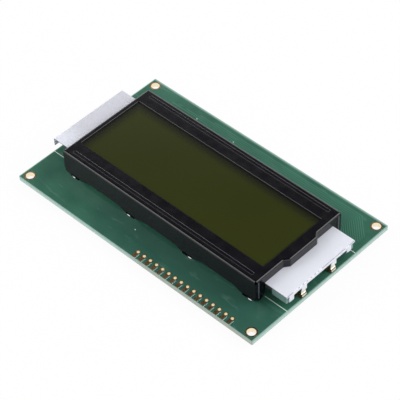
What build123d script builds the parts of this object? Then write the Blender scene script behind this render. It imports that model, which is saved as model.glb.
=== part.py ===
from build123d import *
import os

# A character display module: a printed board that carries a liquid crystal cell under a folded
# steel bezel, with an edge-lit backlight between them.
# Millimetres. The origin is the centre of the board's top face, which is also the centre of its
# four mounting holes. +X runs along the long edge, +Y away from the header, +Z out of the screen.

# Board
board_length = 98.0
board_width = 60.0
board_thickness = 1.6
board_corner_radius = 0.3
copper = 0.05

# Mounting holes
mount_edge_distance = 2.5
mount_hole_diameter = 2.8
mount_ring_diameter = 3.7

# Header holes and their finger pads
header_count = 16
header_pitch = 2.54
header_end_distance = 9.87
header_edge_distance = 2.5
header_hole_diameter = 1.0
header_pad_diameter = 1.5
finger_width = 1.2
finger_edge_gap = 0.3

# Bezel sheet. Its width follows from the film and the rubber strips that it encloses.
bezel_length = 80.4
bezel_height = 8.7
sheet = 0.5
bend_radius = 0.7
corner_relief = 0.55
corner_relief_height = 1.1
corner_radius = 0.25
corner_flap = 2.0
flap_slit = 0.15
corner_foot_radius = 2.0
window_side_rail = 6.05
window_left_rail = 1.8
window_right_rail = 2.6
window_corner_radius = 0.3
window_edge_chamfer = 0.07

# Bump in the end wall, which clears the plug of the cell
bump_centre = 0.5
bump_flat = 11.7
bump_ramp = 1.6
bump_reach = 1.25
bump_radius = 0.8

# Stiffening grooves pressed into the long rails
groove_end_distance = 2.95
groove_wall_distance = 2.1
groove_width = 0.95
groove_depth = 0.2
groove_edge_radius = 0.18

# Feet, arches and twisted tabs of the long walls, and their slots in the board
slot_end_distance = 4.05
slot_count = 4
slot_shift = 0.5
slot_length = 4.3
slot_width = 1.2
foot_width = 4.8
arch_height = 1.2
arch_ramp = 3.0
arch_radius = 2.5
tab_width = 2.0
tab_end_gap = 0.15
tab_free_length = 1.4
tab_twist = 38.0
tab_twist_start = 0.15
tab_twist_length = 0.6

# Opening of the end walls, between legs on both sides of the cover film that passes through
opening_clearance = 0.15
opening_radius = 0.12
leg_ramp = 1.5
leg_ramp_height = 1.2

# Cell: the stack runs down from the bezel to the backlight
polariser_thickness = 0.2
front_glass_thickness = 1.1
cell_gap = 0.1
rear_glass_thickness = 1.0
glass_clearance = 0.2
rear_glass_overhang = 0.45
polariser_margin = 0.5
seal_width = 1.6
fill_port_width = 6.0
plug_width = 9.0
plug_reach = 1.1
plug_inset = 0.15
plug_radius = 0.5

# Rubber contact strips, between the film and the bezel's wall, and the contacts below them
strip_width = 2.0
strip_film_clearance = 0.8
strip_wall_clearance = 0.55
strip_end_distance = 1.5
contact_count = 38
contact_width = 1.0

# Backlight
film_length = 97.4
film_width = 29.6
film_thickness = 0.3
film_bend_radius = 0.4
film_border = 1.5
film_window_inset = 0.5
film_fit = 0.1
lip_height = 2.9
guide_thickness = 2.4
tray_floor = 0.4
tray_lip_height = 1.2
tray_lip = 0.25
tray_side_clearance = 0.25
tray_end_inset = 0.5
tray_foot_diameter = 3.0
tray_foot_pitch_x = 34.0
tray_foot_pitch_y = 18.0

# Folded end of the cover film, seen on its outer face, from the near edge to the far one
fold_height = 0.45
near_foot_inset = 1.0
near_foot_width = 1.9
skirt_height = 1.2
tongue_width = 2.1
far_foot_inset = 1.7
far_foot_width = 1.7
far_foot_height = 2.6
far_foot_slit = 0.2
far_foot_radius = 0.5

# Light bar
bar_depth = 4.0
lug_depth = 5.5
lug_width = 3.0
lug_height = 3.0
lug_clearance = 0.2
bar_slot_wall = 2.05
bar_slot_height = 1.6
bar_slot_depth = 2.0
led_count = 6
led_end_margin = 1.4
led_width = 1.2
led_height = 1.0
led_depth = 0.9
led_board_thickness = 0.4

# Leads of the light bar, their pads and solder
lead_spacing = 12.9
lead_centre = -0.95
lead_width = 1.9
lead_thickness = 0.4
lead_clearance = 0.1
lead_rise = 1.1
lead_bend_radius = 0.5
led_pad_length = 3.4
led_pad_width = 2.9
led_pad_toe = 0.6
solder_reach = 0.9
solder_height = 1.3
solder_toe = 0.45

# Rear side of the board
glob_height = 1.6
controller_diameter = 17.0
driver_diameter = 13.0
controller_place = (-29.0, -8.0)
driver_places = ((-27.0, 11.5), (0.0, 11.5), (27.0, 11.5), (29.0, -8.0))
resistor_size = (2.0, 1.25, 0.5)
capacitor_size = (2.0, 1.25, 0.85)
chip_edge_chamfer = 0.08
resistor_pitch = 3.6
resistor_count = 5
resistor_row_y = -14.0
resistor_row_x = 3.0
capacitor_places = ((-12.0, -8.0), (-12.0, -14.0), (12.0, 1.5), (17.0, -5.0))

# Levels and places that follow
board_bottom = -board_thickness
sheet_underside = bezel_height - sheet
glass_top = sheet_underside - polariser_thickness
glass_bottom = glass_top - front_glass_thickness
rear_glass_top = glass_bottom - cell_gap
rear_glass_bottom = rear_glass_top - rear_glass_thickness
film_top = rear_glass_bottom - polariser_thickness
guide_top = film_top - film_thickness
guide_bottom = guide_top - guide_thickness
tray_bottom = guide_bottom - tray_floor

mount_pitch_x = board_length - 2 * mount_edge_distance
mount_pitch_y = board_width - 2 * mount_edge_distance
header_y = -board_width / 2 + header_edge_distance
header_span = (header_count - 1) * header_pitch
header_centre_x = board_length / 2 - header_end_distance - header_span / 2

strip_span = strip_film_clearance + strip_width + strip_wall_clearance
bezel_width = film_width + 2 * (strip_span + sheet)
window_length = bezel_length - window_left_rail - window_right_rail
window_width = bezel_width - 2 * window_side_rail
window_shift = (window_left_rail - window_right_rail) / 2
groove_length = bezel_length - 2 * groove_end_distance
groove_offset = bezel_width / 2 - groove_wall_distance

wall_y = bezel_width / 2 - sheet / 2
slot_pitch = (bezel_length - 2 * slot_end_distance) / (slot_count - 1)
slot_places = [slot_shift + (k - (slot_count - 1) / 2) * slot_pitch for k in range(slot_count)]
tab_lead = slot_length / 2 - tab_end_gap - tab_width / 2
tab_places = [x - tab_lead if x > slot_shift else x + tab_lead for x in slot_places]

glass_length = bezel_length - 2 * (sheet + glass_clearance)
glass_width = bezel_width - 2 * (sheet + glass_clearance)
rear_glass_width = film_width + 2 * rear_glass_overhang
strip_y = film_width / 2 + strip_film_clearance + strip_width / 2
strip_length = glass_length - 2 * strip_end_distance

film_face = film_length / 2
film_window_length = glass_length - 2 * film_window_inset
film_window_width = film_width - 2 * film_border
lug_face = film_face - film_thickness
guide_end = lug_face - lug_clearance - lug_depth
guide_length = 2 * guide_end
guide_width = film_width - 2 * (tray_lip + tray_side_clearance)
tray_length = glass_length - 2 * tray_end_inset
bar_width = guide_width + 2 * tray_lip
bar_slot_width = bar_width - 2 * bar_slot_wall
led_pitch = (bar_slot_width - led_width - 2 * led_end_margin) / (led_count - 1)
lead_face = lug_face - lead_clearance
lead_height = guide_bottom + lead_rise
lead_places = [lead_centre - lead_spacing / 2, lead_centre + lead_spacing / 2]
led_pad_x = lead_face + led_pad_toe - led_pad_length / 2


def slab(length, width, bottom, thickness, centre=(0, 0)):
    # A flat plate with its lower face at bottom
    with BuildPart() as plate:
        with BuildSketch(Plane.XY.offset(bottom)):
            with Locations(centre):
                Rectangle(length, width)
        extrude(amount=thickness)
    return plate


def dome(diameter, height):
    # A drop of potting resin that hangs from z = 0, rounded like a flat lens
    base_radius = diameter / 2
    with BuildPart() as drop:
        with BuildSketch(Plane.XZ):
            with BuildLine():
                Line((0, 0), (base_radius, 0))
                Spline(
                    (base_radius, 0),
                    (base_radius * 0.62, -height * 0.9),
                    (0, -height),
                    tangents=[(-0.2, -1), (-1, 0)],
                )
                Line((0, -height), (0, 0))
            make_face()
        revolve(axis=Axis.Z)
    return drop


def chip(size, top):
    # A surface-mounted chip under the board, with its upper face at top
    length, width, height = size
    with BuildPart() as body:
        with BuildSketch(Plane.XY.offset(top - height)):
            Rectangle(length, width)
        extrude(amount=height)
        chamfer(body.edges(), chip_edge_chamfer)
    return body


# Printed board
with BuildPart() as pcb:
    with BuildSketch(Plane.XY.offset(board_bottom)):
        RectangleRounded(board_length, board_width, board_corner_radius)
        with GridLocations(mount_pitch_x, mount_pitch_y, 2, 2):
            Circle(mount_hole_diameter / 2 + copper, mode=Mode.SUBTRACT)
        with Locations((header_centre_x, header_y)):
            with GridLocations(header_pitch, header_pitch, header_count, 1):
                Circle(header_hole_diameter / 2 + copper, mode=Mode.SUBTRACT)
        with Locations(*[(x, side * wall_y) for x in slot_places for side in (-1, 1)]):
            SlotOverall(slot_length, slot_width, mode=Mode.SUBTRACT)
    extrude(amount=board_thickness)

# Plated ring of one mounting hole: a barrel with a flange on each face
with BuildPart() as mounting_ring:
    with BuildSketch(Plane.XZ):
        with Locations((mount_hole_diameter / 2, board_bottom)):
            Rectangle(copper, board_thickness, align=Align.MIN)
        for level in (0, board_bottom - copper):
            with Locations((mount_hole_diameter / 2, level)):
                Rectangle((mount_ring_diameter - mount_hole_diameter) / 2, copper, align=Align.MIN)
    revolve(axis=Axis.Z)

with BuildPart() as mounting_rings:
    with GridLocations(mount_pitch_x, mount_pitch_y, 2, 2):
        add(mounting_ring.part)

# One header pad: a finger to the board's edge, the hole's barrel and a round pad below
with BuildPart() as header_pad:
    with BuildSketch():
        Circle(header_pad_diameter / 2)
        finger_length = header_edge_distance - finger_edge_gap
        with Locations((0, -finger_length / 2)):
            Rectangle(finger_width, finger_length)
        Circle(header_hole_diameter / 2, mode=Mode.SUBTRACT)
    extrude(amount=copper)
    with BuildSketch(Plane.XY.offset(board_bottom)):
        Circle(header_hole_diameter / 2 + copper)
        Circle(header_hole_diameter / 2, mode=Mode.SUBTRACT)
    extrude(amount=board_thickness)
    with BuildSketch(Plane.XY.offset(board_bottom - copper)):
        Circle(header_pad_diameter / 2)
        Circle(header_hole_diameter / 2, mode=Mode.SUBTRACT)
    extrude(amount=copper)

with BuildPart() as header_pads:
    with Locations((header_centre_x, header_y)):
        with GridLocations(header_pitch, header_pitch, header_count, 1):
            add(header_pad.part)

# Gold contacts under the rubber strips
with BuildPart() as strip_contacts:
    with BuildSketch():
        contact_pitch = strip_length / contact_count
        with GridLocations(contact_pitch, 2 * strip_y, contact_count, 2):
            Rectangle(contact_width, strip_width)
    extrude(amount=copper)

# Pads for the leads of the light bar
with BuildPart() as led_pads:
    with BuildSketch():
        with Locations(*[(led_pad_x, y) for y in lead_places]):
            Rectangle(led_pad_length, led_pad_width)
    extrude(amount=copper)


def bezel_block(inset, height, edge_radius):
    # The bezel's outline with its bump, drawn in by inset, raised and rounded on top
    with BuildPart() as block:
        with BuildSketch() as plan:
            Rectangle(bezel_length, bezel_width)
            with BuildLine():
                root = bezel_length / 2
                Polyline(
                    (root - bend_radius, bump_centre - bump_flat / 2 - bump_ramp),
                    (root, bump_centre - bump_flat / 2 - bump_ramp),
                    (root + bump_reach, bump_centre - bump_flat / 2),
                    (root + bump_reach, bump_centre + bump_flat / 2),
                    (root, bump_centre + bump_flat / 2 + bump_ramp),
                    (root - bend_radius, bump_centre + bump_flat / 2 + bump_ramp),
                    close=True,
                )
            make_face()
            bump_corners = plan.vertices().filter_by(
                lambda v: v.X > root - 0.01 and abs(v.Y - bump_centre) < bump_flat / 2 + bump_ramp + 0.01
            )
            fillet(bump_corners, bump_radius)
            if inset > 0:
                offset(amount=-inset, kind=Kind.INTERSECTION, mode=Mode.REPLACE)
        extrude(amount=height)
        fillet(block.faces().sort_by(Axis.Z)[-1].edges(), edge_radius)
    return block


bezel_outside = bezel_block(0, bezel_height, bend_radius)
bezel_inside = bezel_block(sheet, sheet_underside, bend_radius - sheet)

# One tab below a long wall: straight through the board, then twisted to grip it
with BuildPart() as tab:
    with BuildSketch(Plane.XY.offset(board_bottom - tab_twist_start)):
        Rectangle(tab_width, sheet)
    extrude(amount=board_thickness + tab_twist_start + arch_height)
    with BuildSketch(Plane.XY.offset(board_bottom - tab_twist_start)):
        Rectangle(tab_width, sheet)
    with BuildSketch(Plane.XY.offset(board_bottom - tab_twist_start - tab_twist_length)):
        Rectangle(tab_width, sheet, rotation=tab_twist)
    loft(ruled=True)
    with BuildSketch(Plane.XY.offset(board_bottom - tab_free_length)):
        Rectangle(tab_width, sheet, rotation=tab_twist)
    extrude(amount=tab_free_length - tab_twist_start - tab_twist_length)

# Folded bezel with its window, grooves, bump, arches, feet and tabs
with BuildPart() as bezel:
    add(bezel_outside.part)
    add(bezel_inside.part, mode=Mode.SUBTRACT)
    # Window, with its sheared edge broken
    with BuildSketch(Plane.XY.offset(sheet_underside)):
        with Locations((window_shift, 0)):
            RectangleRounded(window_length, window_width, window_corner_radius)
    extrude(amount=sheet, mode=Mode.SUBTRACT)
    window_rim = bezel.edges().group_by(Axis.Z)[-1].filter_by(
        lambda e: abs(e.center().Y) < window_width / 2 + 0.1 and abs(e.center().X) < window_length / 2 + 0.5
    )
    chamfer(window_rim, window_edge_chamfer)
    # Grooves: a ridge below the sheet, and the groove itself from above
    with BuildSketch(Plane.XY.offset(sheet_underside - groove_depth)):
        with GridLocations(groove_length, 2 * groove_offset, 1, 2):
            SlotOverall(groove_length + 2 * groove_depth, groove_width + 2 * groove_depth)
    extrude(amount=groove_depth)
    with BuildSketch(Plane.XY.offset(bezel_height - groove_depth)):
        with GridLocations(groove_length, 2 * groove_offset, 1, 2):
            SlotOverall(groove_length, groove_width)
    extrude(amount=groove_depth, mode=Mode.SUBTRACT)
    groove_rim = bezel.edges().group_by(Axis.Z)[-1].filter_by(
        lambda e: abs(abs(e.center().Y) - groove_offset) < groove_width / 2 + 0.01
        and abs(e.center().X) < groove_length / 2 + 0.01
    )
    fillet(groove_rim, groove_edge_radius)
    # A relief at each corner, where two folds meet. Below it the long wall ends in a flap round the
    # corner, which a slit parts from the end wall's leg.
    with BuildSketch(Plane.XY.offset(bezel_height - corner_relief_height)):
        with GridLocations(bezel_length - corner_relief, bezel_width - corner_relief, 2, 2):
            Rectangle(corner_relief, corner_relief)
    extrude(amount=corner_relief_height, mode=Mode.SUBTRACT)
    with BuildSketch():
        with GridLocations(bezel_length - sheet, bezel_width - 2 * corner_flap - flap_slit, 2, 2):
            Rectangle(sheet, flap_slit)
    extrude(amount=bezel_height - corner_relief_height, mode=Mode.SUBTRACT)
    corner_edges = bezel.edges().filter_by(Axis.Z).filter_by(
        lambda e: abs(abs(e.center().X) - bezel_length / 2) < 0.01
        and abs(abs(e.center().Y) - bezel_width / 2) < 0.01
    )
    fillet(corner_edges, corner_radius)
    # End walls stop above the backlight. The legs beside it narrow towards the board.
    with BuildSketch(Plane.YZ):
        with BuildLine():
            half = film_width / 2 + opening_clearance
            FilletPolyline(
                (-half - leg_ramp, 0),
                (-half, leg_ramp_height),
                (-half, film_top),
                (half, film_top),
                (half, leg_ramp_height),
                (half + leg_ramp, 0),
                radius=opening_radius,
            )
            Line((half + leg_ramp, 0), (-half - leg_ramp, 0))
        make_face()
    extrude(amount=bezel_length, both=True, mode=Mode.SUBTRACT)
    # Arches of the long walls between the feet
    with BuildSketch(Plane.XZ):
        for left, right in zip(slot_places, slot_places[1:]):
            start = left + foot_width / 2
            end = right - foot_width / 2
            with BuildLine():
                FilletPolyline(
                    (start, 0),
                    (start + arch_ramp, arch_height),
                    (end - arch_ramp, arch_height),
                    (end, 0),
                    radius=arch_radius,
                )
                Line((end, 0), (start, 0))
            make_face()
    extrude(amount=bezel_width, both=True, mode=Mode.SUBTRACT)
    # The foot of each corner is rounded off on both of its faces
    for face, half_span in (
        (Plane.XZ.offset(-bezel_width / 2), bezel_length / 2),
        (Plane.XZ.offset(bezel_width / 2 - sheet), bezel_length / 2),
        (Plane.YZ.offset(-bezel_length / 2), bezel_width / 2),
        (Plane.YZ.offset(bezel_length / 2 - sheet), bezel_width / 2),
    ):
        with BuildSketch(face):
            centre = half_span - corner_foot_radius
            corner = centre + corner_foot_radius / 2
            with Locations((-corner, corner_foot_radius / 2), (corner, corner_foot_radius / 2)):
                Rectangle(corner_foot_radius, corner_foot_radius)
            with Locations((-centre, corner_foot_radius), (centre, corner_foot_radius)):
                Circle(corner_foot_radius, mode=Mode.SUBTRACT)
        extrude(amount=sheet, mode=Mode.SUBTRACT)
    for side in (-1, 1):
        with Locations(*[(x, side * wall_y) for x in tab_places]):
            add(tab.part)

# Liquid crystal cell, from the viewer's side down
polariser_length = glass_length - 2 * polariser_margin
polariser_width = rear_glass_width - 2 * polariser_margin
front_polariser = slab(polariser_length, polariser_width, glass_top, polariser_thickness)
front_glass = slab(glass_length, glass_width, glass_bottom, front_glass_thickness)
rear_glass = slab(glass_length, rear_glass_width, rear_glass_bottom, rear_glass_thickness)
rear_polariser = slab(polariser_length, polariser_width, film_top, polariser_thickness)

# Filling of the cell, with the neck of its fill port
with BuildPart() as liquid_crystal:
    with BuildSketch(Plane.XY.offset(rear_glass_top)):
        Rectangle(glass_length - 2 * seal_width, rear_glass_width - 2 * seal_width)
        with Locations((glass_length / 2 - seal_width, bump_centre)):
            Rectangle(seal_width, fill_port_width, align=(Align.MIN, Align.CENTER))
    extrude(amount=cell_gap)

# Seal round the filling
with BuildPart() as cell_seal:
    with BuildSketch(Plane.XY.offset(rear_glass_top)):
        Rectangle(glass_length, rear_glass_width)
    extrude(amount=cell_gap)
    add(liquid_crystal.part, mode=Mode.SUBTRACT)

# Dab of resin that plugs the fill port, inside the bump
with BuildPart() as end_seal_plug:
    with BuildSketch(Plane.XY.offset(rear_glass_bottom + plug_inset)):
        with Locations((glass_length / 2, bump_centre)):
            Rectangle(plug_reach, plug_width, align=(Align.MIN, Align.CENTER))
    extrude(amount=glass_top - rear_glass_bottom - 2 * plug_inset)
    fillet(end_seal_plug.faces().sort_by(Axis.X)[-1].edges(), plug_radius)

# Rubber contact strips between the board's contacts and the ledges of the front glass
front_contact_strip = slab(strip_length, strip_width, copper, glass_bottom - copper, (0, -strip_y))
back_contact_strip = slab(strip_length, strip_width, copper, glass_bottom - copper, (0, strip_y))

# Cover film: one die-cut sheet, folded down at both ends
with BuildPart() as cover_film:
    with BuildSketch(Plane.XZ):
        with BuildLine() as fold:
            outer = film_face
            inner = film_face - film_thickness
            FilletPolyline(
                (-outer, film_top - lip_height),
                (-outer, film_top),
                (outer, film_top),
                (outer, film_top - lip_height),
                radius=film_bend_radius,
            )
            Line((outer, film_top - lip_height), (inner, film_top - lip_height))
            FilletPolyline(
                (inner, film_top - lip_height),
                (inner, film_top - film_thickness),
                (-inner, film_top - film_thickness),
                (-inner, film_top - lip_height),
                radius=film_bend_radius - film_thickness,
            )
            Line((-inner, film_top - lip_height), (-outer, film_top - lip_height))
        make_face()
    extrude(amount=film_width / 2, both=True)
    # Opening below the cell
    with BuildSketch(Plane.XY.offset(guide_top)):
        Rectangle(film_window_length, film_window_width)
    extrude(amount=film_thickness, mode=Mode.SUBTRACT)
    # Cut-outs of the flap between its feet and the tongues over the leads
    with BuildSketch(Plane.YZ.offset(inner)):
        near_edge = -film_width / 2
        flap_bottom = film_top - lip_height
        skirt_bottom = film_top - skirt_height
        far_foot_start = -near_edge - far_foot_inset - far_foot_width
        stops = [near_edge + near_foot_inset + near_foot_width]
        for y in lead_places:
            stops += [y - tongue_width / 2, y + tongue_width / 2]
        stops.append(far_foot_start)
        for start, end in zip(stops[::2], stops[1::2]):
            with Locations(((start + end) / 2, flap_bottom)):
                Rectangle(end - start, skirt_bottom - flap_bottom, align=(Align.CENTER, Align.MIN))
        notch_height = lip_height - fold_height
        with Locations((near_edge, flap_bottom)):
            Rectangle(near_foot_inset, notch_height, align=Align.MIN)
        with Locations((far_foot_start + far_foot_width, flap_bottom)):
            Rectangle(far_foot_inset, notch_height, align=Align.MIN)
        with Locations((far_foot_start - far_foot_slit, flap_bottom)):
            Rectangle(far_foot_slit, notch_height, align=Align.MIN)
        with Locations((far_foot_start, flap_bottom)):
            Rectangle(far_foot_width, lip_height - far_foot_height, align=Align.MIN)
    extrude(amount=film_thickness, mode=Mode.SUBTRACT)
    foot_corners = cover_film.edges().filter_by(Axis.X).filter_by(
        lambda e: abs(e.center().Z - film_top + far_foot_height) < 0.01 and e.center().Y > 0
    )
    fillet(foot_corners, far_foot_radius)

# Diffuser, which lies in the cover film's opening
diffuser_film = slab(
    film_window_length - 2 * film_fit,
    film_window_width - 2 * film_fit,
    guide_top,
    film_thickness,
)

# Acrylic light guide
light_guide = slab(guide_length, guide_width, guide_bottom, guide_thickness)

# White tray below the light guide: a floor with low lips, on six feet
with BuildPart() as backlight_tray:
    with BuildSketch(Plane.XY.offset(tray_bottom)):
        Rectangle(tray_length, bar_width)
    extrude(amount=tray_floor + tray_lip_height)
    with BuildSketch(Plane.XY.offset(guide_bottom)):
        Rectangle(tray_length, guide_width)
    extrude(amount=tray_lip_height, mode=Mode.SUBTRACT)
    with BuildSketch():
        with GridLocations(tray_foot_pitch_x, tray_foot_pitch_y, 3, 2):
            Circle(tray_foot_diameter / 2)
    extrude(amount=tray_bottom)

# Light bar housing: a block across the end of the light guide, with a lug at each corner
with BuildPart() as led_holder:
    with BuildSketch(Plane.XY.offset(guide_bottom)):
        with Locations((guide_end, 0)):
            Rectangle(bar_depth, bar_width, align=(Align.MIN, Align.CENTER))
    extrude(amount=guide_thickness)
    with BuildSketch(Plane.XY.offset(guide_top - lug_height)):
        for side in (-1, 1):
            lug_y = side * (bar_width - lug_width) / 2
            with Locations((guide_end, lug_y)):
                Rectangle(lug_depth, lug_width, align=(Align.MIN, Align.CENTER))
    extrude(amount=lug_height)
    # Slot for the light sources, open towards the guide
    with BuildSketch(Plane.YZ.offset(guide_end)):
        with Locations((0, guide_bottom + guide_thickness / 2)):
            Rectangle(bar_slot_width, bar_slot_height)
    extrude(amount=bar_slot_depth, mode=Mode.SUBTRACT)
    # Exits for the leads
    with BuildSketch(Plane.YZ.offset(guide_end)):
        with Locations(*[(y, lead_height) for y in lead_places]):
            Rectangle(lead_width, lead_thickness)
    extrude(amount=bar_depth, mode=Mode.SUBTRACT)

# Strip that carries the light sources, at the back of the slot
led_board_face = guide_end + bar_slot_depth - led_board_thickness
with BuildPart() as led_board:
    with BuildSketch(Plane.YZ.offset(led_board_face)):
        with Locations((0, guide_bottom + guide_thickness / 2)):
            Rectangle(bar_slot_width, bar_slot_height)
    extrude(amount=led_board_thickness)

with BuildPart() as led_chips:
    with BuildSketch(Plane.YZ.offset(led_board_face - led_depth)):
        with Locations((0, guide_bottom + guide_thickness / 2)):
            with GridLocations(led_pitch, led_pitch, led_count, 1):
                Rectangle(led_width, led_height)
    extrude(amount=led_depth)


def lead(y):
    # A flat lead: out of the light bar, round a bend and down to its pad
    with BuildPart() as strip:
        with BuildSketch(Plane.XZ.offset(-y)):
            with BuildLine():
                top = lead_height + lead_thickness / 2
                start = guide_end + bar_slot_depth
                FilletPolyline(
                    (start, top),
                    (lead_face, top),
                    (lead_face, copper),
                    radius=lead_bend_radius + lead_thickness,
                )
                Line((lead_face, copper), (lead_face - lead_thickness, copper))
                FilletPolyline(
                    (lead_face - lead_thickness, copper),
                    (lead_face - lead_thickness, top - lead_thickness),
                    (start, top - lead_thickness),
                    radius=lead_bend_radius,
                )
                Line((start, top - lead_thickness), (start, top))
            make_face()
        extrude(amount=lead_width / 2, both=True)
    return strip


cathode_lead = lead(lead_places[0])
anode_lead = lead(lead_places[1])

# Solder that runs up the inner and the outer face of one lead
with BuildPart() as solder_fillet:
    with BuildSketch(Plane.XZ):
        with BuildLine():
            inner_face = lead_face - lead_thickness
            Line((inner_face, copper), (inner_face, copper + solder_height))
            ThreePointArc(
                (inner_face, copper + solder_height),
                (inner_face - solder_reach * 0.35, copper + solder_height * 0.35),
                (inner_face - solder_reach, copper),
            )
            Line((inner_face - solder_reach, copper), (inner_face, copper))
        make_face()
        with BuildLine():
            Line((lead_face, copper), (lead_face, copper + solder_height))
            ThreePointArc(
                (lead_face, copper + solder_height),
                (lead_face + solder_toe * 0.7, copper + solder_height * 0.6),
                (lead_face + solder_toe, copper),
            )
            Line((lead_face + solder_toe, copper), (lead_face, copper))
        make_face()
    extrude(amount=lead_width / 2, both=True)

with BuildPart() as lead_solder:
    with Locations(*[(0, y) for y in lead_places]):
        add(solder_fillet.part)

# Resin drops over the controller and the drivers, below the board
controller_drop = dome(controller_diameter, glob_height)
driver_drop = dome(driver_diameter, glob_height)

with BuildPart() as controller_glob:
    with Locations((*controller_place, board_bottom)):
        add(controller_drop.part)

with BuildPart() as driver_globs:
    with Locations(*[(x, y, board_bottom) for x, y in driver_places]):
        add(driver_drop.part)

# Chip resistors and capacitors below the board
resistor = chip(resistor_size, board_bottom)
capacitor = chip(capacitor_size, board_bottom)

with BuildPart() as chip_resistors:
    with Locations((resistor_row_x, resistor_row_y)):
        with GridLocations(resistor_pitch, resistor_pitch, resistor_count, 1):
            add(resistor.part)

with BuildPart() as chip_capacitors:
    with Locations(*capacitor_places):
        add(capacitor.part)

pieces = {
    "pcb": pcb,
    "mounting_rings": mounting_rings,
    "header_pads": header_pads,
    "strip_contacts": strip_contacts,
    "led_pads": led_pads,
    "bezel": bezel,
    "front_polariser": front_polariser,
    "front_glass": front_glass,
    "cell_seal": cell_seal,
    "liquid_crystal": liquid_crystal,
    "end_seal_plug": end_seal_plug,
    "rear_glass": rear_glass,
    "rear_polariser": rear_polariser,
    "front_contact_strip": front_contact_strip,
    "back_contact_strip": back_contact_strip,
    "cover_film": cover_film,
    "diffuser_film": diffuser_film,
    "light_guide": light_guide,
    "backlight_tray": backlight_tray,
    "led_holder": led_holder,
    "led_board": led_board,
    "led_chips": led_chips,
    "cathode_lead": cathode_lead,
    "anode_lead": anode_lead,
    "lead_solder": lead_solder,
    "controller_glob": controller_glob,
    "driver_globs": driver_globs,
    "chip_resistors": chip_resistors,
    "chip_capacitors": chip_capacitors,
}

os.makedirs("parts", exist_ok=True)
for name, piece in pieces.items():
    piece.part.label = name
    export_step(piece.part, f"parts/{name}.step")
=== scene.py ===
import math
import bpy
import bmesh
from mathutils import Matrix, Vector


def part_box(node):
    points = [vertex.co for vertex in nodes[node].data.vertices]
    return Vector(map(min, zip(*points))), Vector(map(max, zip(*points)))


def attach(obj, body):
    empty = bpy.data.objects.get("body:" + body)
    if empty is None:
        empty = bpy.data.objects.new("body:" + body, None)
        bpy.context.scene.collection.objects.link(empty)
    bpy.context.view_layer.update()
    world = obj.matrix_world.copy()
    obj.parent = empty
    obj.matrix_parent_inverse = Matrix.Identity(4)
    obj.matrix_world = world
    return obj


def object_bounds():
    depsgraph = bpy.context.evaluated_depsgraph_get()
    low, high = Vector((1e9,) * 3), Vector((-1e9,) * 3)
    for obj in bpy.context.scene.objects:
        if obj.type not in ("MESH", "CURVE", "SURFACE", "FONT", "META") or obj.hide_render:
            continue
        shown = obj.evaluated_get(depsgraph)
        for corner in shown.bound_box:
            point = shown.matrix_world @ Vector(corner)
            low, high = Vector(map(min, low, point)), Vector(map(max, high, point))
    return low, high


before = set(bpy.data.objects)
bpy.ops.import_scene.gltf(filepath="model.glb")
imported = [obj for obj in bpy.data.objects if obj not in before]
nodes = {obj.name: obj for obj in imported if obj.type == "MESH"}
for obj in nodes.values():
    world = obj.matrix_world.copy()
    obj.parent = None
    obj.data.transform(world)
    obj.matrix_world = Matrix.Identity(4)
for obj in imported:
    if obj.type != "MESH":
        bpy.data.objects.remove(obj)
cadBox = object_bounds()
mm = 0.001  # every piece below is written in millimetres

boardLow, boardHigh = [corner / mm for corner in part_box("pcb")]
bezelLow, bezelHigh = [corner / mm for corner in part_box("bezel")]
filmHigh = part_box("cover_film")[1] / mm
boardTop, boardUnder = boardHigh.z, boardLow.z
print("frame loaded:", len(nodes), "nodes")


def toLinear(code):
    channels = [int(code[start:start + 2], 16) / 255 for start in (1, 3, 5)]
    return [c / 12.92 if c <= 0.04045 else ((c + 0.055) / 1.055) ** 2.4 for c in channels] + [1.0]


def addNode(tree, kind, inputs=None, **settings):
    # An input is a value, a socket, or a node, whose first open output is then linked
    node = tree.nodes.new(kind)
    for name, value in settings.items():
        setattr(node, name, value)
    for name, value in (inputs or {}).items():
        if isinstance(value, bpy.types.Node):
            value = next(output for output in value.outputs if output.enabled)
        if isinstance(value, bpy.types.NodeSocket):
            tree.links.new(value, node.inputs[name])
        else:
            node.inputs[name].default_value = value
    return node


# Camera, fitted to the photograph
view = {
    "azimuth": 45.80,
    "elevation": 46.14,
    "roll": -2.77,
    "distance": 524.0,
    "lens": 155.24,
    "sensor": 36.0,
    "shiftX": -0.00024,
    "shiftY": 0.00120,
}
turn, lift, roll = [math.radians(view[key]) for key in ("azimuth", "elevation", "roll")]
back = Vector((math.sin(turn) * math.cos(lift), -math.cos(turn) * math.cos(lift), math.sin(lift)))
level = (-back).cross(Vector((0, 0, 1))).normalized()
upright = level.cross(-back)
across = math.cos(roll) * level + math.sin(roll) * upright
above = math.cos(roll) * upright - math.sin(roll) * level
lens = bpy.data.cameras.new("photoLens")
lens.lens, lens.sensor_width = view["lens"], view["sensor"]
lens.shift_x, lens.shift_y = view["shiftX"], view["shiftY"]
camera = bpy.data.objects.new("photoCamera", lens)
camera.matrix_world = Matrix.Translation(back * view["distance"] * mm) @ Matrix(
    (across, above, back)
).transposed().to_4x4()
bpy.context.scene.collection.objects.link(camera)
bpy.context.scene.camera = camera
bpy.context.scene.view_settings.view_transform = "Standard"
print("camera placed")


# Studio: a white table, a dim ceiling and two soft boxes, each with its azimuth, elevation and watts
studio = {
    "ambient": 0.592,
    "wall": 2.08,
    "wallEnd": 0.52,
    "ceiling": 0.04,
    "ceilingStart": 0.7,
    "floorColour": "#f2f2f3",
    "floorShare": 0.94,
    "floorSize": 3000.0,
    "floorGap": 0.01,
}


def addMirrored(tree, rays):
    # 1 for what a metal or a clear piece sees
    return addNode(tree, "ShaderNodeMath", {
        0: rays.outputs["Is Glossy Ray"], 1: rays.outputs["Is Transmission Ray"],
    }, operation="MAXIMUM")


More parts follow.
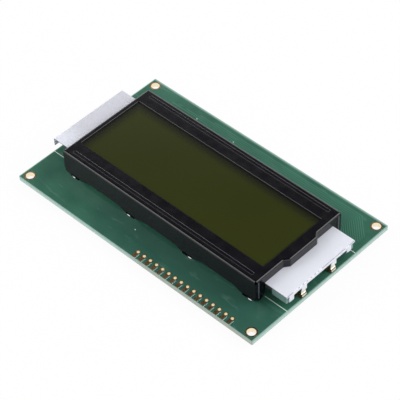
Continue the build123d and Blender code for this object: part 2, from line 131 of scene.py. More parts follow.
world = bpy.data.worlds.new("studioWorld")
world.use_nodes = True
bpy.context.scene.world = world
tree = world.node_tree
tree.nodes.clear()
direction = addNode(tree, "ShaderNodeTexCoord")
height = addNode(tree, "ShaderNodeSeparateXYZ", {"Vector": direction.outputs["Generated"]})
surroundings = addNode(tree, "ShaderNodeMapRange", {
    "Value": height.outputs["Z"], "From Min": studio["wallEnd"], "From Max": studio["ceilingStart"],
    "To Min": studio["wall"], "To Max": studio["ceiling"],
}, interpolation_type="SMOOTHERSTEP")
rays = addNode(tree, "ShaderNodeLightPath")
lit = addNode(tree, "ShaderNodeMix", {0: addMirrored(tree, rays), 2: studio["ambient"], 3: surroundings})
seen = addNode(tree, "ShaderNodeMix", {0: rays.outputs["Is Camera Ray"], 2: lit, 3: 1.0})
sky = addNode(tree, "ShaderNodeBackground", {"Color": (1.0, 1.0, 1.0, 1.0), "Strength": seen})
addNode(tree, "ShaderNodeOutputWorld", {"Surface": sky})

softBoxes = {
    "distance": 900.0, "size": (620.0, 480.0),
    "lamps": (("rightSoftBox", 44.0, 36.0, 4.3), ("leftSoftBox", 222.0, 33.0, 3.4)),
}
for name, azimuth, elevation, watts in softBoxes["lamps"]:
    lamp = bpy.data.lights.new(name, "AREA")
    lamp.shape = "RECTANGLE"
    lamp.size, lamp.size_y = [side * mm for side in softBoxes["size"]]
    lamp.energy = watts
    holder = bpy.data.objects.new(name, lamp)
    spin, rise = math.radians(azimuth), math.radians(elevation)
    away = Vector((math.cos(spin) * math.cos(rise), math.sin(spin) * math.cos(rise), math.sin(rise)))
    holder.location = away * softBoxes["distance"] * mm
    holder.rotation_mode = "QUATERNION"
    holder.rotation_quaternion = away.to_track_quat("Z", "Y")
    holder.visible_camera = False
    bpy.context.scene.collection.objects.link(holder)

floorMaterial = bpy.data.materials.new("paintedStudioTable")
floorMaterial.use_nodes = True
tree = floorMaterial.node_tree
tree.nodes.clear()
paint = addNode(tree, "ShaderNodeBsdfDiffuse", {"Color": toLinear(studio["floorColour"])})
glow = addNode(tree, "ShaderNodeEmission", {"Strength": 1.0})
rays = addNode(tree, "ShaderNodeLightPath")
watched = addNode(tree, "ShaderNodeMath", {
    0: addMirrored(tree, rays), 1: rays.outputs["Is Camera Ray"],
}, operation="MAXIMUM")
share = addNode(tree, "ShaderNodeMath", {0: watched, 1: studio["floorShare"]}, operation="MULTIPLY")
surface = addNode(tree, "ShaderNodeMixShader", {0: share, 1: paint, 2: glow})
addNode(tree, "ShaderNodeOutputMaterial", {"Surface": surface})
half = studio["floorSize"] * mm / 2
floorLevel = cadBox[0].z - studio["floorGap"] * mm
floorCorners = [(x * half, y * half, floorLevel) for x, y in ((-1, -1), (1, -1), (1, 1), (-1, 1))]
floorMesh = bpy.data.meshes.new("studioFloor")
floorMesh.from_pydata(floorCorners, [], [(0, 1, 2, 3)])
floorMesh.materials.append(floorMaterial)
studioFloor = bpy.data.objects.new("studioFloor", floorMesh)
bpy.context.scene.collection.objects.link(studioFloor)
print("studio lit")


# Materials
noiseLow, noiseHigh = 0.3, 0.7  # where most of a noise's values lie
facingLimit = 0.5


def startMaterial(name, **sockets):
    material = bpy.data.materials.new(name)
    material.use_nodes = True
    tree = material.node_tree
    shader = tree.nodes["Principled BSDF"]
    for socket, value in sockets.items():
        shader.inputs[socket.replace("_", " ")].default_value = value
    place = addNode(tree, "ShaderNodeTexCoord").outputs["Object"]
    return material, tree, shader, place


def addGrain(tree, shader, place, size, depth):
    # Relief with bumps of this size and depth in millimetres
    noise = addNode(tree, "ShaderNodeTexNoise", {"Vector": place, "Scale": 1 / (size * mm), "Detail": 2.0})
    bump = addNode(tree, "ShaderNodeBump", {"Height": noise, "Distance": depth * mm, "Strength": 1.0})
    tree.links.new(bump.outputs[0], shader.inputs["Normal"])


def addTone(tree, place, size, dark, light, detail=3.0):
    # Two tones that drift into each other over this many millimetres
    noise = addNode(tree, "ShaderNodeTexNoise", {
        "Vector": place, "Scale": 1 / (size * mm), "Detail": detail,
    })
    spread = addNode(tree, "ShaderNodeMapRange", {
        "Value": noise, "From Min": noiseLow, "From Max": noiseHigh,
    })
    return addNode(tree, "ShaderNodeMix", {
        0: spread, 6: toLinear(dark), 7: toLinear(light),
    }, data_type="RGBA")


def addGloss(tree, shader, place, size, smooth, rough):
    # Roughness that drifts between two levels
    noise = addNode(tree, "ShaderNodeTexNoise", {"Vector": place, "Scale": 1 / (size * mm), "Detail": 3.0})
    spread = addNode(tree, "ShaderNodeMapRange", {
        "Value": noise, "From Min": noiseLow, "From Max": noiseHigh, "To Min": smooth, "To Max": rough,
    })
    tree.links.new(spread.outputs["Result"], shader.inputs["Roughness"])


def addFacing(tree, axis):
    # 1 where the surface looks along this axis, either way
    geometry = addNode(tree, "ShaderNodeNewGeometry")
    normal = addNode(tree, "ShaderNodeSeparateXYZ", {0: geometry.outputs["Normal"]})
    flatness = addNode(tree, "ShaderNodeMath", {0: normal.outputs[axis]}, operation="ABSOLUTE")
    return addNode(tree, "ShaderNodeMath", {0: flatness, 1: facingLimit}, operation="GREATER_THAN")


def makeMaterial(name, tone, grain, **sockets):
    # A finish of one kind all over: tone is (size, dark, light) and grain is (size, depth)
    material, tree, shader, place = startMaterial(name, **sockets)
    tree.links.new(addTone(tree, place, *tone).outputs[2], shader.inputs["Base Color"])
    addGrain(tree, shader, place, *grain)
    return material


# Glass-epoxy laminate under a flow-coated solder mask: a wet green gloss on the faces, with painted shade
# on the near strip by the header in front of the bezel, streaked where it was wiped, with a pale rim. The
# routed edges are dull pale resin, greener at the top and painted lighter towards the bottom, as light from
# the white table.
laminate = {
    "maskDark": "#305f4f", "maskLight": "#3c705c", "cloud": 9.0,
    "bezelShade": "#2e584c", "bezelShadeShare": 0.75, "bezelShadeFrom": -34.0, "bezelShadeTo": 4.0, "bezelShadeSide": -17.0,
    "smear": "#6f9a8d", "smearShare": 0.4, "smearSize": 2.2, "smearStretch": 3.6,
    "smearFrom": 0.6, "smearFull": 0.78, "smearDetail": 4.0, "smearWaver": 0.4,
    "margin": "#a9c8bd", "marginWidths": {"left": 0.4, "right": 0.4, "near": 0.25, "far": 0.85},
    "edgeTop": "#84ad9e", "edgeUnder": "#aec7c0", "edgeTopLevel": -0.05, "edgeUnderLevel": -0.65,
    "fingerEdge": "#a3a498", "fingerShare": 0.7, "fingersFrom": -6.0, "fingersTo": 6.0,
    "faceRoughness": 0.2, "edgeRoughness": 0.6, "weave": 0.5, "weaveDepth": 0.004,
}
boardMask, tree, shader, place = startMaterial("flowCoatedSolderMask", IOR=1.52)
spot = addNode(tree, "ShaderNodeSeparateXYZ", {0: place}).outputs
onFace = addFacing(tree, "Z")
mask = addTone(tree, place, laminate["cloud"], laminate["maskDark"], laminate["maskLight"])
# Painted shade: the near strip in front of the bezel grows darker towards the middle and the right
alongBezelShade = addNode(tree, "ShaderNodeMapRange", {
    "Value": spot["X"], "From Min": laminate["bezelShadeFrom"] * mm, "From Max": laminate["bezelShadeTo"] * mm,
    "To Max": laminate["bezelShadeShare"],
}, interpolation_type="SMOOTHSTEP")
nearSide = addNode(tree, "ShaderNodeMath", {
    0: spot["Y"], 1: laminate["bezelShadeSide"] * mm,
}, operation="LESS_THAN")
bezelShadeMask = addNode(tree, "ShaderNodeMath", {0: alongBezelShade, 1: nearSide}, operation="MULTIPLY")
mask = addNode(tree, "ShaderNodeMix", {0: bezelShadeMask, 6: mask, 7: toLinear(laminate["bezelShade"])}, data_type="RGBA")
wiped = addNode(tree, "ShaderNodeMapping", {
    "Vector": place, "Scale": (1 / laminate["smearStretch"], 1.0, 1.0),
})
residue = addNode(tree, "ShaderNodeTexNoise", {
    "Vector": wiped, "Scale": 1 / (laminate["smearSize"] * mm),
    "Detail": laminate["smearDetail"], "Distortion": laminate["smearWaver"],
})
smear = addNode(tree, "ShaderNodeMapRange", {
    "Value": residue, "From Min": laminate["smearFrom"], "From Max": laminate["smearFull"],
    "To Max": laminate["smearShare"],
})
mask = addNode(tree, "ShaderNodeMix", {0: smear, 6: mask, 7: toLinear(laminate["smear"])}, data_type="RGBA")
rim = 0.0
for side, axis, limit in (
    ("left", "X", boardLow.x), ("right", "X", boardHigh.x),
    ("near", "Y", boardLow.y), ("far", "Y", boardHigh.y),
):
    inner = limit - math.copysign(laminate["marginWidths"][side], limit)
    thinning = addNode(tree, "ShaderNodeMapRange", {
        "Value": spot[axis], "From Min": inner * mm, "From Max": limit * mm,
    })
    rim = addNode(tree, "ShaderNodeMath", {0: rim, 1: thinning}, operation="MAXIMUM")
face = addNode(tree, "ShaderNodeMix", {0: rim, 6: mask, 7: toLinear(laminate["margin"])}, data_type="RGBA")
# Painted light: the routed edge runs from greener at the top to paler at the bottom, where the white table
# lights it
edgeTableLight = addNode(tree, "ShaderNodeMapRange", {
    "Value": spot["Z"], "From Min": (boardTop + laminate["edgeUnderLevel"]) * mm,
    "From Max": (boardTop + laminate["edgeTopLevel"]) * mm,
})
edge = addNode(tree, "ShaderNodeMix", {
    0: edgeTableLight, 6: toLinear(laminate["edgeUnder"]), 7: toLinear(laminate["edgeTop"]),
}, data_type="RGBA")
geometry = addNode(tree, "ShaderNodeNewGeometry")
normal = addNode(tree, "ShaderNodeSeparateXYZ", {0: geometry.outputs["Normal"]})
frontEdge = addNode(tree, "ShaderNodeMath", {0: normal.outputs["Y"], 1: -facingLimit}, operation="LESS_THAN")
fingers = addNode(tree, "ShaderNodeMapRange", {
    "Value": spot["X"], "From Min": laminate["fingersFrom"] * mm, "From Max": laminate["fingersTo"] * mm,
    "To Max": laminate["fingerShare"],
})
fingers = addNode(tree, "ShaderNodeMath", {0: fingers, 1: frontEdge}, operation="MULTIPLY")
edge = addNode(tree, "ShaderNodeMix", {
    0: fingers, 6: edge, 7: toLinear(laminate["fingerEdge"]),
}, data_type="RGBA")
colour = addNode(tree, "ShaderNodeMix", {0: onFace, 6: edge, 7: face}, data_type="RGBA")
tree.links.new(colour.outputs[2], shader.inputs["Base Color"])
gloss = addNode(tree, "ShaderNodeMapRange", {
    "Value": onFace, "To Min": laminate["edgeRoughness"], "To Max": laminate["faceRoughness"],
})
tree.links.new(gloss.outputs["Result"], shader.inputs["Roughness"])
addGrain(tree, shader, place, laminate["weave"], laminate["weaveDepth"])

# The same mask over etched copper: a shade lighter, and raised by the foil
copperMask = makeMaterial("solderMaskOverCopper", (6.0, "#437a67", "#4e8571"), (0.4, 0.003),
                          Roughness=0.22, IOR=1.52)

# Epoxy ink, screen printed: flat pale lines with a slightly ragged edge
silkInk = makeMaterial("screenPrintedInk", (0.3, "#daf1e7", "#ebfaf3"), (0.12, 0.004),
                       Roughness=0.5, IOR=1.5)

# Immersion gold over nickel: brownish in the dim ceiling, pale in the barrels that see the table
gold = {"dark": "#9a7450", "light": "#b5906a", "barrel": "#f8ebcc"}
goldPlate, tree, shader, place = startMaterial("immersionGold", Metallic=1.0, Roughness=0.3)
tone = addTone(tree, place, 1.2, gold["dark"], gold["light"])
colour = addNode(tree, "ShaderNodeMix", {
    0: addFacing(tree, "Z"), 6: toLinear(gold["barrel"]), 7: tone,
}, data_type="RGBA")
tree.links.new(colour.outputs[2], shader.inputs["Base Color"])
addGrain(tree, shader, place, 0.15, 0.002)

# Cold-rolled steel, folded, under baked black enamel: satin, with a fine orange peel, with painted
# highlights along the rims of the grooves and along the folds and slits at the corners
grooves = {"offset": 16.55, "halfWidth": 0.475, "halfLength": 37.25, "depth": 0.12,
           "grooveHighlightWidth": 0.2, "grooveHighlight": "#3c3c41"}
corners = {"stripes": (0.2, 1.75), "halfWidth": 0.22, "depth": 0.3, "low": 0.8, "high": 7.7,
           "foldHighlight": "#5a5a64"}
blackEnamel, tree, shader, place = startMaterial("bakedBlackEnamel", IOR=1.5, Specular_IOR_Level=0.36)
spot = addNode(tree, "ShaderNodeSeparateXYZ", {0: place}).outputs
reachX = addNode(tree, "ShaderNodeMath", {0: spot["X"]}, operation="ABSOLUTE")
reachY = addNode(tree, "ShaderNodeMath", {0: spot["Y"]}, operation="ABSOLUTE")
fromLine = addNode(tree, "ShaderNodeMath", {0: reachY, 1: grooves["offset"] * mm}, operation="SUBTRACT")
fromLine = addNode(tree, "ShaderNodeMath", {0: fromLine}, operation="ABSOLUTE")
# Painted highlight: lighter lines along both rims of each groove on the top
grooveHighlight = addNode(tree, "ShaderNodeMath", {
    0: fromLine, 1: grooves["halfWidth"] * mm, 2: grooves["grooveHighlightWidth"] / 2 * mm,
}, operation="COMPARE")
for value, limit, test in (
    (reachX, grooves["halfLength"], "LESS_THAN"),
    (spot["Z"], bezelHigh.z - grooves["depth"], "GREATER_THAN"),
):
    inside = addNode(tree, "ShaderNodeMath", {0: value, 1: limit * mm}, operation=test)
    grooveHighlight = addNode(tree, "ShaderNodeMath", {0: grooveHighlight, 1: inside}, operation="MULTIPLY")
# Painted highlight: lighter vertical stripes on the end walls near the corners, along the folds and slits
cornerHighlight = 0.0
for inset in corners["stripes"]:
    stripe = addNode(tree, "ShaderNodeMath", {
        0: reachY, 1: (bezelHigh.y - inset) * mm, 2: corners["halfWidth"] * mm,
    }, operation="COMPARE")
    cornerHighlight = addNode(tree, "ShaderNodeMath", {0: cornerHighlight, 1: stripe}, operation="MAXIMUM")
for value, limit, test in (
    (reachX, -bezelLow.x - corners["depth"], "GREATER_THAN"),
    (spot["Z"], corners["low"], "GREATER_THAN"),
    (spot["Z"], corners["high"], "LESS_THAN"),
):
    inside = addNode(tree, "ShaderNodeMath", {0: value, 1: limit * mm}, operation=test)
    cornerHighlight = addNode(tree, "ShaderNodeMath", {0: cornerHighlight, 1: inside}, operation="MULTIPLY")
colour = addTone(tree, place, 5.0, "#09090e", "#0e0e14")
for share, tint in ((grooveHighlight, grooves["grooveHighlight"]), (cornerHighlight, corners["foldHighlight"])):
    colour = addNode(tree, "ShaderNodeMix", {0: share, 6: colour, 7: toLinear(tint)}, data_type="RGBA")
tree.links.new(colour.outputs[2], shader.inputs["Base Color"])
addGloss(tree, shader, place, 3.0, 0.17, 0.24)
addGrain(tree, shader, place, 0.35, 0.004)

# Dyed polarising film with an anti-glare face, laminated: flat olive, and darker where the
# sheet of the bezel keeps the light off the cell, most at the far and the left edge. Each rim has
# its axis, its place and how steeply the shade fades from it.
olive = {
    "centre": "#2a2f06", "light": "#2e3309", "rim": "#14160a", "rimWidth": 4.3,
    "rims": (("X", -38.4, 1.0), ("Y", 12.6, -1.0), ("X", 37.6, -4.5), ("Y", -12.6, 9.0)),
}
polariser, tree, shader, place = startMaterial("antiGlarePolariser", IOR=1.49, Roughness=0.2,
                                               Specular_IOR_Level=0.42)
spot = addNode(tree, "ShaderNodeSeparateXYZ", {0: place}).outputs
nearest = olive["rimWidth"] * mm
for axis, rim, slope in olive["rims"]:
    gap = addNode(tree, "ShaderNodeMath", {0: spot[axis], 1: rim * mm}, operation="SUBTRACT")
    gap = addNode(tree, "ShaderNodeMath", {0: gap, 1: slope}, operation="MULTIPLY")
    nearest = addNode(tree, "ShaderNodeMath", {0: nearest, 1: gap}, operation="MINIMUM")
inward = addNode(tree, "ShaderNodeMapRange", {
    "Value": nearest, "From Min": 0.0, "From Max": olive["rimWidth"] * mm,
}, interpolation_type="SMOOTHSTEP")
tone = addTone(tree, place, 30.0, olive["centre"], olive["light"], 1.0)
colour = addNode(tree, "ShaderNodeMix", {0: inward, 6: toLinear(olive["rim"]), 7: tone}, data_type="RGBA")
tree.links.new(colour.outputs[2], shader.inputs["Base Color"])
addGrain(tree, shader, place, 0.08, 0.0008)

# White polyester film, calendered and die cut: matt, slightly cool, and thin enough to glow. Its
# left end has nothing white behind it and is painted greyer as painted shade, most on its cut edges.
wing = {"ends": -39.9, "starts": -40.6, "nearEnd": -12.5, "full": -5.0, "wingShade": "#cfd0d9", "cut": "#8b8d95"}
whiteFilm, tree, shader, place = startMaterial(
    "calenderedPolyesterFilm", IOR=1.57, Roughness=0.42, Subsurface_Weight=0.5,
    Subsurface_Radius=(1.0, 1.0, 1.0), Subsurface_Scale=0.5 * mm,
)
spot = addNode(tree, "ShaderNodeSeparateXYZ", {0: place}).outputs
onWing = addNode(tree, "ShaderNodeMapRange", {
    "Value": spot["X"], "From Min": wing["ends"] * mm, "From Max": wing["starts"] * mm,
})
inWing = addNode(tree, "ShaderNodeMapRange", {
    "Value": spot["Y"], "From Min": wing["nearEnd"] * mm, "From Max": wing["full"] * mm,
})
colour = addTone(tree, place, 14.0, "#dfe1ed", "#e6e8f3")
# Painted shade: the left end greyer away from its near end, and its cut edges facing along Y greyer still
for part, tint in ((inWing, wing["wingShade"]), (addFacing(tree, "Y"), wing["cut"])):
    share = addNode(tree, "ShaderNodeMath", {0: onWing, 1: part}, operation="MULTIPLY")
    colour = addNode(tree, "ShaderNodeMix", {0: share, 6: colour, 7: toLinear(tint)}, data_type="RGBA")
tree.links.new(colour.outputs[2], shader.inputs["Base Color"])
addGrain(tree, shader, place, 0.25, 0.002)

# The same film where it is scored: the cut shows as a grey line of painted shade
foldShade = makeMaterial("scoredPolyesterFilm", (0.8, "#5c5e66", "#8a8c95"), (0.2, 0.002),
                         IOR=1.57, Roughness=0.6)

# Polycarbonate filled with titanium white, injection moulded: soft satin
whiteMoulding = makeMaterial("mouldedWhitePolycarbonate", (8.0, "#dadbd8", "#e4e5e2"), (0.3, 0.003),
                             IOR=1.58, Roughness=0.4)

# Unfilled polycarbonate, moulded with a frosted face: painted teal-grey, as painted shade and a painted
# reflection of the green board
frostedMoulding = makeMaterial("frostedPolycarbonate", (4.0, "#6a8984", "#7b9692"), (0.2, 0.003),
                               IOR=1.58, Roughness=0.32)

# Cast acrylic, sawn and flame polished: clear, with a faint ripple
clearAcrylic = makeMaterial("polishedAcrylic", (10.0, "#cfe0da", "#dceae5"), (1.5, 0.004),
                            IOR=1.49, Roughness=0.06, Transmission_Weight=0.9)

# Soda-lime float glass, scribed and ground: clear with a green edge
floatGlass = makeMaterial("groundFloatGlass", (12.0, "#c4d8c6", "#d2e4d4"), (2.0, 0.002),
                          IOR=1.52, Roughness=0.04, Transmission_Weight=0.92)

# Ultraviolet-cured epoxy, dispensed: amber, a little cloudy
sealResin = makeMaterial("dispensedSealResin", (1.5, "#8f8766", "#a39a78"), (0.5, 0.01),
                         IOR=1.55, Roughness=0.3)

# Nematic mixture between the glasses: olive and clear
cellLiquid = makeMaterial("nematicMixture", (6.0, "#6f7a4c", "#7c8658"), (2.0, 0.001),
                          IOR=1.6, Roughness=0.05, Transmission_Weight=0.5)

# Silicone rubber, laid up in conducting and plain layers and sliced: pink with fine dark bands.
# The real layers are 0.1 mm, drawn six times as coarse to show.
zebra = {"band": 0.6, "waveFactor": 6.283, "waver": 0.2, "dark": "#4a4042", "pink": "#c9a49c"}
contactRubber, tree, shader, place = startMaterial("slicedZebraRubber", IOR=1.43, Roughness=0.6)
bands = addNode(tree, "ShaderNodeTexWave", {
    "Vector": place, "Scale": 1 / (zebra["band"] * mm) / zebra["waveFactor"], "Distortion": zebra["waver"],
}, bands_direction="X")
colour = addNode(tree, "ShaderNodeMix", {
    0: bands.outputs["Fac"], 6: toLinear(zebra["dark"]), 7: toLinear(zebra["pink"]),
}, data_type="RGBA")
tree.links.new(colour.outputs[2], shader.inputs["Base Color"])
addGrain(tree, shader, place, 0.3, 0.004)

# Phosphor-filled silicone in white cups: yellowish light sources
ledBody = makeMaterial("mouldedLedBody", (0.6, "#d4cb72", "#e2da8c"), (0.2, 0.003),
                       IOR=1.5, Roughness=0.35)

# Copper strip and solder, hot tinned: bright, slightly uneven where it froze
tinned = makeMaterial("hotDippedTin", (0.5, "#d6d0bd", "#ece7d6"), (0.35, 0.006),
                      Metallic=1.0, Roughness=0.28)

# Dark brown lines on the solder, a thin glaze: painted shade where the solder bends and at its toe
jointShade = makeMaterial("paintedJointShade", (0.5, "#3a3022", "#5c4f38"), (0.2, 0.003),
                           IOR=1.53, Roughness=0.3)

# Gold pads: olive brown, darker than the other gold, half dull
oliveGoldPad = makeMaterial("oliveBrownGold", (0.9, "#4a3f2c", "#7a7150"), (0.2, 0.003),
                          Metallic=0.5, Roughness=0.4)

# Black epoxy, dispensed over the chips and cured: domed, with a dull skin
pottingResin, tree, shader, place = startMaterial("curedPottingEpoxy", IOR=1.55)
tone = addTone(tree, place, 2.5, "#121213", "#1c1c1e")
tree.links.new(tone.outputs[2], shader.inputs["Base Color"])
addGloss(tree, shader, place, 2.0, 0.34, 0.5)
addGrain(tree, shader, place, 0.8, 0.012)

# Glass-glazed thick film on alumina: black, with a thin gloss
chipBody = makeMaterial("glazedChipResistor", (0.4, "#17171a", "#222226"), (0.15, 0.003),
                        IOR=1.52, Roughness=0.25)

# Sintered barium titanate: tan and stony
chipCeramic = makeMaterial("sinteredCeramic", (0.25, "#97785a", "#ab8c6c"), (0.12, 0.004),
                           IOR=1.6, Roughness=0.5)

finishes = {
    "pcb": boardMask,
    "mounting_rings": goldPlate, "header_pads": goldPlate, "strip_contacts": goldPlate,
    "led_pads": oliveGoldPad,
    "bezel": blackEnamel,
    "front_polariser": polariser, "rear_polariser": polariser,
    "front_glass": floatGlass, "rear_glass": floatGlass,
    "cell_seal": sealResin, "end_seal_plug": sealResin, "liquid_crystal": cellLiquid,
    "front_contact_strip": contactRubber, "back_contact_strip": contactRubber,
    "cover_film": whiteFilm, "diffuser_film": whiteFilm,
    "light_guide": clearAcrylic, "backlight_tray": whiteMoulding,
    "led_holder": frostedMoulding, "led_board": whiteMoulding, "led_chips": ledBody,
    "cathode_lead": tinned, "anode_lead": tinned, "lead_solder": tinned,
    "controller_glob": pottingResin, "driver_globs": pottingResin,
    "chip_resistors": chipBody, "chip_capacitors": chipCeramic,
}
for node, material in finishes.items():
    for entry in nodes[node].material_slots:
        entry.material = material
print("finishes on", len(finishes), "nodes")


# Mesh helpers for the added pieces, all in millimetres
def startShape():
    return {"points": [], "faces": []}


def addRibbon(shape, path, width, bottom, top):
    # A flat strip with mitred corners that follows the path
    sharpest = 0.3  # keeps the mitre of a sharp corner short
    stations = []
    for index, point in enumerate(path):
        here = Vector(point)
        before = (here - Vector(path[index - 1])).normalized() if index else None
        after = (Vector(path[index + 1]) - here).normalized() if index + 1 < len(path) else None
        along = ((before or after) + (after or before)).normalized()
        side = Vector((-along.y, along.x))
        flow = before or after
        reach = width / 2 / max(sharpest, side.dot(Vector((-flow.y, flow.x))))
        stations.append((here + side * reach, here - side * reach))
    first = len(shape["points"])
    for left, right in stations:
        shape["points"] += [(*left, bottom), (*left, top), (*right, top), (*right, bottom)]
    for index in range(len(stations) - 1):
        start = first + 4 * index
        for k in range(4):
            there = (k + 1) % 4
            shape["faces"].append((start + k, start + there, start + 4 + there, start + 4 + k))
    last = first + 4 * (len(stations) - 1)
    shape["faces"] += [(first + 3, first + 2, first + 1, first), (last, last + 1, last + 2, last + 3)]


def addRing(shape, centre, inner, outer, bottom, top, sides=56):
    first = len(shape["points"])
    for k in range(sides):
        angle = 2 * math.pi * k / sides
        along, aside = math.cos(angle), math.sin(angle)
        for radius, rise in ((inner, bottom), (inner, top), (outer, top), (outer, bottom)):
            shape["points"].append((centre[0] + radius * along, centre[1] + radius * aside, rise))
    for k in range(sides):
        here, there = first + 4 * k, first + 4 * ((k + 1) % sides)
        for c in range(4):
            shape["faces"].append((here + c, there + c, there + (c + 1) % 4, here + (c + 1) % 4))


def addBar(shape, start, end, sideways, outward):
    # A bar with a chamfered back, from start to end, as wide and as high as the two vectors
    shoulder, crown = 0.6, 0.3  # height of the sides, and half the flat on the back, as shares
    start, end, sideways, outward = [Vector(item) for item in (start, end, sideways, outward)]
    first = len(shape["points"])
    section = [
        -sideways / 2, sideways / 2, sideways / 2 + outward * shoulder,
        sideways * crown + outward, -sideways * crown + outward, -sideways / 2 + outward * shoulder,
    ]
    count = len(section)
    for at in (start, end):
        shape["points"] += [tuple(at + corner) for corner in section]
    for k in range(count):
        there = (k + 1) % count
        shape["faces"].append((first + k, first + there, first + count + there, first + count + k))
    shape["faces"].append(tuple(range(first, first + count)))
    shape["faces"].append(tuple(range(first + 2 * count - 1, first + count - 1, -1)))


def addDome(shape, centre, radius, bottom, height, sides=12, rings=3):
    # A round drop on the board; a negative height hangs it below
    first = len(shape["points"])
    for ring in range(rings):
        angle = math.pi / 2 * ring / rings
        reach, rise = radius * math.cos(angle), height * math.sin(angle)
        for k in range(sides):
            spin = 2 * math.pi * k / sides
            shape["points"].append((
                centre[0] + reach * math.cos(spin), centre[1] + reach * math.sin(spin), bottom + rise,
            ))
    for ring in range(rings - 1):
        for k in range(sides):
            here, there = first + ring * sides + k, first + ring * sides + (k + 1) % sides
            shape["faces"].append((here, there, there + sides, here + sides))
    top = first + (rings - 1) * sides
    shape["points"].append((centre[0], centre[1], bottom + height))
    crown = len(shape["points"]) - 1
    for k in range(sides):
        shape["faces"].append((top + k, top + (k + 1) % sides, crown))
    shape["faces"].append(tuple(range(first + sides - 1, first - 1, -1)))


def addPiece(name, shape, material):
    mesh = bpy.data.meshes.new(name)
    mesh.from_pydata([[value * mm for value in point] for point in shape["points"]], [], shape["faces"])
    solid = bmesh.new()
    solid.from_mesh(mesh)
    bmesh.ops.recalc_face_normals(solid, faces=solid.faces)
    solid.to_mesh(mesh)
    solid.free()
    mesh.materials.append(material)
    piece = bpy.data.objects.new(name, mesh)
    bpy.context.scene.collection.objects.link(piece)
    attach(piece, "root")


# Printed lines that frame the film at both ends of the board
silkFrame = {"offset": 15.05, "width": 0.2, "thickness": 0.02, "edgeGap": 0.1, "start": 40.3}
shape = startShape()
for y in (-silkFrame["offset"], silkFrame["offset"]):
    for end, start in (
        (boardHigh.x - silkFrame["edgeGap"], silkFrame["start"]),
        (boardLow.x + silkFrame["edgeGap"], -silkFrame["start"]),
    ):
        addRibbon(shape, [(start, y), (end, y)], silkFrame["width"],
                  boardTop, boardTop + silkFrame["thickness"])
addPiece("silkFrame", shape, silkInk)

# Etched tracks under the mask: a bundle along the far strip that slants across the right end
topTracks = {
    "count": 12, "pitch": 0.72, "width": 0.3, "thickness": 0.035, "firstY": 19.9,
    "left": -37.0, "leftSteps": 4, "leftStep": 5.5,
    "right": 38.2, "rightStep": 0.21, "limitX": 46.6, "limitY": 16.0,
}
shape = startShape()
for k in range(topTracks["count"]):
    y = topTracks["firstY"] + k * topTracks["pitch"]
    left = topTracks["left"] + (k % topTracks["leftSteps"]) * topTracks["leftStep"]
    right = topTracks["right"] + k * topTracks["rightStep"]
    slant = min(y - topTracks["limitY"], topTracks["limitX"] - right)
    addRibbon(shape, [(left, y), (right, y), (right + slant, y - slant)], topTracks["width"],
              boardTop, boardTop + topTracks["thickness"])
addPiece("farTracks", shape, copperMask)

# Pale lines between the fingers of the header: painted highlights on the edges of the mask openings
header = {"count": 16, "pitch": 2.54, "lastX": 39.13, "y": -27.5,
          "lineOffset": 0.92, "lineWidth": 0.08, "lineStart": 0.15, "lineEnd": 0.5, "thickness": 0.015}
shape = startShape()
for k in range(header["count"]):
    x = header["lastX"] - k * header["pitch"] + header["lineOffset"]
    addRibbon(shape, [(x, boardLow.y + header["lineStart"]), (x, header["y"] - header["lineEnd"])],
              header["lineWidth"], boardTop, boardTop + header["thickness"])
addPiece("fingerEdgeHighlights", shape, silkInk)

# Plugged vias: small pale bumps
vias = {"radius": 0.2, "height": 0.05, "top": ((-6.1, -21.7), (-9.8, 25.3), (-25.7, 25.3))}
shape = startShape()
for centre in vias["top"]:
    addDome(shape, centre, vias["radius"], boardTop, vias["height"])
addPiece("topVias", shape, silkInk)

# Score line along the fold of the cover film: slits and dots that help it bend
fold = {"inset": 0.117, "width": 0.16, "depth": 0.02, "slant": 0.707,
        "slits": ((-14.8, -12.1), (0.3, 10.6), (12.4, 14.7)),
        "dots": (-9.9, -8.1, -6.4, -4.6, -2.9, -1.4), "dotLength": 0.5}
x, z = filmHigh.x - fold["inset"], filmHigh.z - fold["inset"]
width, depth = fold["width"] * fold["slant"], fold["depth"] * fold["slant"]
shape = startShape()
for low, high in list(fold["slits"]) + [(y, y + fold["dotLength"]) for y in fold["dots"]]:
    addBar(shape, (x, low, z), (x, high, z), (width, 0, -width), (depth, 0, depth))
addPiece("foldScore", shape, foldShade)

# Dark lines of painted shade on the solder of the leads, and mask over the front of their pads
joint = {
    "places": (-7.4, 5.5), "width": 1.9, "copper": 0.05,
    "lineX": 48.56, "lineZ": 0.93, "lineAcross": (0.1462, 0, -0.306), "lineOut": (0.054, 0, 0.026),
    "footX": 48.8, "footAcross": (0.2, 0, 0), "footOut": (0, 0, 0.08),
    "maskFrom": 48.68, "maskTo": 48.97, "maskWidth": 3.3, "maskProud": 0.01,
}
middle = (joint["maskFrom"] + joint["maskTo"]) / 2
lines, lip = startShape(), startShape()
for y in joint["places"]:
    low, high = y - joint["width"] / 2, y + joint["width"] / 2
    for x, z, across, out in (
        (joint["lineX"], joint["lineZ"], joint["lineAcross"], joint["lineOut"]),
        (joint["footX"], joint["copper"], joint["footAcross"], joint["footOut"]),
    ):
        addBar(lines, (x, low, z), (x, high, z), across, out)
    addRibbon(lip, [(middle, y - joint["maskWidth"] / 2), (middle, y + joint["maskWidth"] / 2)],
              joint["maskTo"] - joint["maskFrom"], boardTop, joint["copper"] + joint["maskProud"])
addPiece("jointShadeLines", lines, jointShade)
addPiece("padMask", lip, copperMask)
print("top side dressed")

